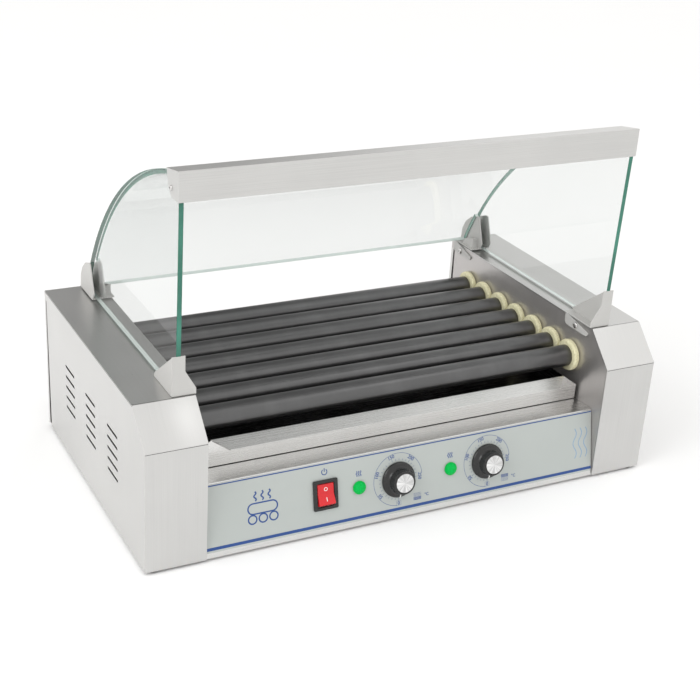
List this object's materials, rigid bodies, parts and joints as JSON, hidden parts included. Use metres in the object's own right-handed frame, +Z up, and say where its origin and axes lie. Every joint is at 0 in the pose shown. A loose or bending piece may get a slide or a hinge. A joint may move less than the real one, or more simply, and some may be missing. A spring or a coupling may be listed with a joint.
{
  "type": "hot dog roller grill",
  "caption": "Countertop grill with a bed of parallel turning rollers between two steel end housings, knob controls in front, a pull-out drip tray and a curved glass guard.",
  "frame": {"origin": "middle of the whole object's footprint, on the surface its feet stand on", "axes": "+X along the rollers to the machine's right-hand end, +Y from the controls to the back, +Z up"},
  "size_m": [0.58, 0.3394, 0.3855],
  "materials": {
    "housing_steel": "brushed stainless sheet, fine vertical grain",
    "wall_steel": "brushed stainless sheet, darker inside",
    "tray_steel": "brushed stainless sheet",
    "rail_steel": "brushed stainless sheet, grain along the rail",
    "clip_steel": "satin stainless sheet",
    "guard_glass": "clear toughened glass with green edges",
    "roller_coating": "satin black non-stick coating on steel tube",
    "bush_plastic": "cream heat-resistant plastic, speckled",
    "drive_steel": "plain steel",
    "motor_paint": "dark painted casting",
    "black_plastic": "moulded black plastic",
    "rocker_red": "translucent red plastic",
    "lens_green": "green lens",
    "foot_rubber": "matt black rubber",
    "label_film": "pale grey-green printed film",
    "navy_ink": "navy printing ink",
    "spun_aluminium": "turned face with circular grain",
    "screw_steel": "plated pan-head screws"
  },
  "bodies": {
    "root": {"left_housing_cover": "housing_steel", "right_housing_cover": "housing_steel", "rear_panel": "housing_steel", "control_deck": "housing_steel", "left_inner_wall": "wall_steel", "right_inner_wall": "wall_steel", "base_pan": "wall_steel", "top_rail": "rail_steel", "left_front_clip": "clip_steel", "right_front_clip": "clip_steel", "left_rear_clip": "clip_steel", "right_rear_clip": "clip_steel", "left_side_glass": "guard_glass", "right_side_glass": "guard_glass", "rear_glass": "guard_glass", "left_bush_1": "bush_plastic", "left_bush_2": "bush_plastic", "left_bush_3": "bush_plastic", "left_bush_4": "bush_plastic", "left_bush_5": "bush_plastic", "left_bush_6": "bush_plastic", "left_bush_7": "bush_plastic", "right_bush_1": "bush_plastic", "right_bush_2": "bush_plastic", "right_bush_3": "bush_plastic", "right_bush_4": "bush_plastic", "right_bush_5": "bush_plastic", "right_bush_6": "bush_plastic", "right_bush_7": "bush_plastic", "drive_chain": "drive_steel", "front_thermostat": "drive_steel", "back_thermostat": "drive_steel", "gear_motor": "motor_paint", "switch_bezel": "black_plastic", "cord_gland": "black_plastic", "front_heat_light": "lens_green", "back_heat_light": "lens_green", "left_front_foot": "foot_rubber", "left_rear_foot": "foot_rubber", "right_front_foot": "foot_rubber", "right_rear_foot": "foot_rubber"},
    "roller_1_body": {"roller_1": "roller_coating", "sprocket_1": "drive_steel"},
    "roller_2_body": {"roller_2": "roller_coating", "sprocket_2": "drive_steel"},
    "roller_3_body": {"roller_3": "roller_coating", "sprocket_3": "drive_steel"},
    "roller_4_body": {"roller_4": "roller_coating", "sprocket_4": "drive_steel"},
    "roller_5_body": {"roller_5": "roller_coating", "sprocket_5": "drive_steel"},
    "roller_6_body": {"roller_6": "roller_coating", "sprocket_6": "drive_steel"},
    "roller_7_body": {"roller_7": "roller_coating", "sprocket_7": "drive_steel"},
    "motor_drive": {"motor_sprocket": "drive_steel"},
    "front_knob_body": {"front_knob": "black_plastic"},
    "back_knob_body": {"back_knob": "black_plastic"},
    "rocker_body": {"switch_rocker": "rocker_red"},
    "tray_body": {"drip_tray": "tray_steel"}
  },
  "joints": [
    {"name": "roller_1_spin", "type": "hinge", "parent": "root", "child": "roller_1_body", "pos_m": [0, -0.09631, 0.122], "axis": [1, 0, 0], "continuous": true},
    {"name": "roller_2_spin", "type": "hinge", "parent": "root", "child": "roller_2_body", "pos_m": [0, -0.06071, 0.122], "axis": [1, 0, 0], "continuous": true},
    {"name": "roller_3_spin", "type": "hinge", "parent": "root", "child": "roller_3_body", "pos_m": [0, -0.02511, 0.122], "axis": [1, 0, 0], "continuous": true},
    {"name": "roller_4_spin", "type": "hinge", "parent": "root", "child": "roller_4_body", "pos_m": [0, 0.01049, 0.122], "axis": [1, 0, 0], "continuous": true},
    {"name": "roller_5_spin", "type": "hinge", "parent": "root", "child": "roller_5_body", "pos_m": [0, 0.04609, 0.122], "axis": [1, 0, 0], "continuous": true},
    {"name": "roller_6_spin", "type": "hinge", "parent": "root", "child": "roller_6_body", "pos_m": [0, 0.08169, 0.122], "axis": [1, 0, 0], "continuous": true},
    {"name": "roller_7_spin", "type": "hinge", "parent": "root", "child": "roller_7_body", "pos_m": [0, 0.11729, 0.122], "axis": [1, 0, 0], "continuous": true},
    {"name": "motor_spin", "type": "hinge", "parent": "root", "child": "motor_drive", "pos_m": [0.238, 0.02829, 0.0898], "axis": [1, 0, 0], "continuous": true},
    {"name": "front_knob_turn", "type": "hinge", "parent": "root", "child": "front_knob_body", "pos_m": [-0.015, -0.15268, 0.04359], "axis": [0, 0.9781, -0.2079], "range_deg": [0, 270]},
    {"name": "back_knob_turn", "type": "hinge", "parent": "root", "child": "back_knob_body", "pos_m": [0.092, -0.15268, 0.04359], "axis": [0, 0.9781, -0.2079], "range_deg": [0, 270]},
    {"name": "rocker_tilt", "type": "hinge", "parent": "root", "child": "rocker_body", "pos_m": [-0.098, -0.15065, 0.04316], "axis": [1, 0, 0], "range_deg": [0, 24]},
    {"name": "tray_slide", "type": "slide", "parent": "root", "child": "tray_body", "axis": [0, -1, 0], "range_m": [0, 0.26]}
  ],
  "couplings": [
    {"joint": "roller_2_spin", "follows": "roller_1_spin", "ratio": 1},
    {"joint": "roller_3_spin", "follows": "roller_1_spin", "ratio": 1},
    {"joint": "roller_4_spin", "follows": "roller_1_spin", "ratio": 1},
    {"joint": "roller_5_spin", "follows": "roller_1_spin", "ratio": 1},
    {"joint": "roller_6_spin", "follows": "roller_1_spin", "ratio": 1},
    {"joint": "roller_7_spin", "follows": "roller_1_spin", "ratio": 1},
    {"joint": "motor_spin", "follows": "roller_1_spin", "ratio": -1}
  ]
}
